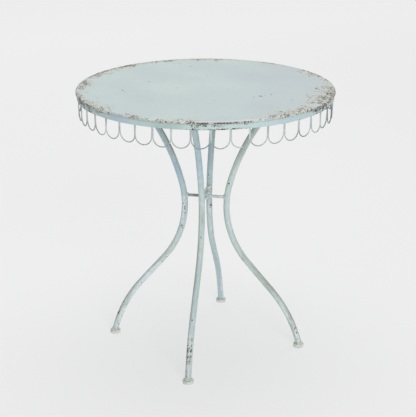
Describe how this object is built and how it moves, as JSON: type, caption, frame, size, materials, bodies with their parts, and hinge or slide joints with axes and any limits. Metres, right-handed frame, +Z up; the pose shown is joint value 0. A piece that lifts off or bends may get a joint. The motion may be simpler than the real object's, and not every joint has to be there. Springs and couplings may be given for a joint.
{
  "type": "bistro table",
  "caption": "Round metal bistro table: flat sheet top with a turned-down edge, a rim band hung with wire scallops, and bent tube legs braced at a narrow waist.",
  "frame": {"origin": "on the floor, under the middle of the top", "axes": "+Z up; the legs stand on the X and Y axes, and -Y is the front"},
  "size_m": [0.6999, 0.7, 0.755],
  "materials": {
    "top_enamel": "pale duck-egg blue paint, satin, rubbed through to primer and rust along the edge",
    "rim_enamel": "pale blue-green paint, satin, with dark chips along both edges",
    "wire_enamel": "pale blue-green paint worn to grey primer on the bends",
    "leg_enamel": "pale blue-grey paint, satin, with dark chips and pale worn patches",
    "foot_enamel": "cream and grey worn paint",
    "brace_enamel": "blue-grey paint worn to grey",
    "frame_enamel": "pale blue-grey paint, satin",
    "zinc_screws": "dull zinc plating"
  },
  "bodies": {
    "root": {"top_sheet": "top_enamel", "rim_band": "rim_enamel", "scallop_loops_front": "wire_enamel", "scallop_loops_right": "wire_enamel", "scallop_loops_back": "wire_enamel", "scallop_loops_left": "wire_enamel", "leg_front": "leg_enamel", "leg_right": "leg_enamel", "leg_back": "leg_enamel", "leg_left": "leg_enamel", "foot_front": "foot_enamel", "foot_right": "foot_enamel", "foot_back": "foot_enamel", "foot_left": "foot_enamel", "brace_rod_across": "brace_enamel", "brace_rod_front": "brace_enamel", "brace_rod_back": "brace_enamel", "top_bar_across": "frame_enamel", "top_bar_front": "frame_enamel", "top_bar_back": "frame_enamel", "leg_plate_front": "frame_enamel", "leg_plate_right": "frame_enamel", "leg_plate_back": "frame_enamel", "leg_plate_left": "frame_enamel", "plate_screws": "zinc_screws", "plate_washers": "zinc_screws"}
  },
  "joints": []
}
